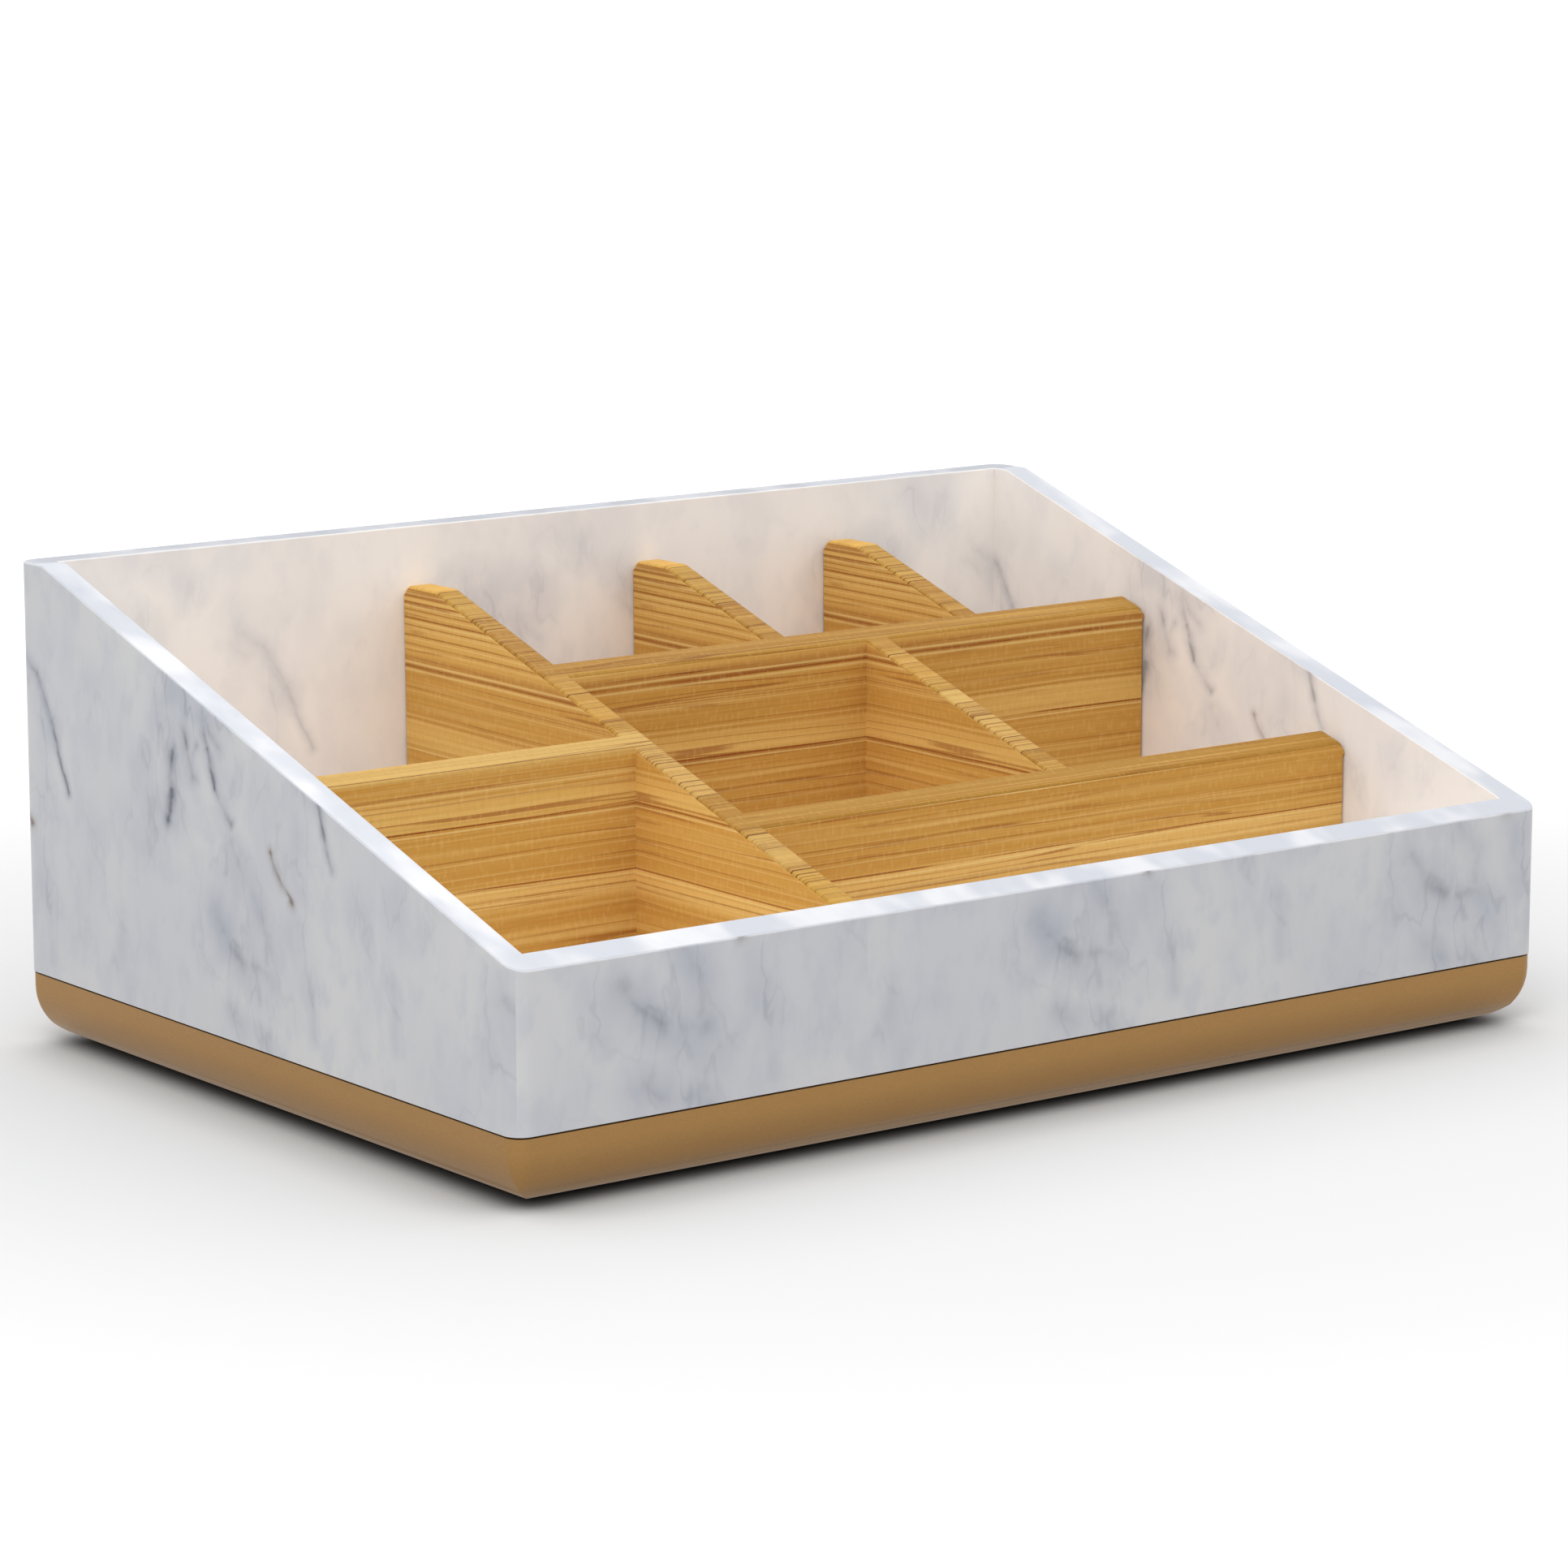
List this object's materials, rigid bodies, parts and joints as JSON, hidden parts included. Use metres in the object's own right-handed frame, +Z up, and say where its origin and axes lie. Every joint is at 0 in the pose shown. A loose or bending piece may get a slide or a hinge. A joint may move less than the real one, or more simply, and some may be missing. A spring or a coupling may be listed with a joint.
{
  "type": "vanity organizer",
  "caption": "Slant-sided open organizer box of pale marble-look stone on a gold base, with a lift-out bamboo insert that divides it into rectangular bays.",
  "frame": {"origin": "on the table under the middle of the casing, at the feet's undersides", "axes": "+X along the width to the right, +Y from the low front to the high back, +Z up"},
  "size_m": [0.26, 0.1786, 0.1006],
  "materials": {
    "marble": "satin white with soft grey veins",
    "gold": "satin gold lacquer",
    "bamboo": "clear-lacquered laminated bamboo",
    "dowel_wood": "bare wood",
    "brass": "plain",
    "steel": "zinc plated",
    "rubber": "matte"
  },
  "bodies": {
    "housing": {"casing": "marble", "base": "gold", "threaded_inserts": "brass", "base_screws": "steel", "foot_front_left": "rubber", "foot_front_right": "rubber", "foot_rear_left": "rubber", "foot_rear_right": "rubber"},
    "divider_insert": {"long_divider": "bamboo", "rear_cross_divider": "bamboo", "front_cross_divider": "bamboo", "left_cross_divider": "bamboo", "middle_divider": "bamboo", "rear_left_divider": "bamboo", "rear_right_divider": "bamboo", "dowels": "dowel_wood"}
  },
  "joints": [
    {"name": "insert_lift", "type": "slide", "parent": "housing", "child": "divider_insert", "axis": [0, 0, 1], "range_m": [0, 0.09]}
  ]
}
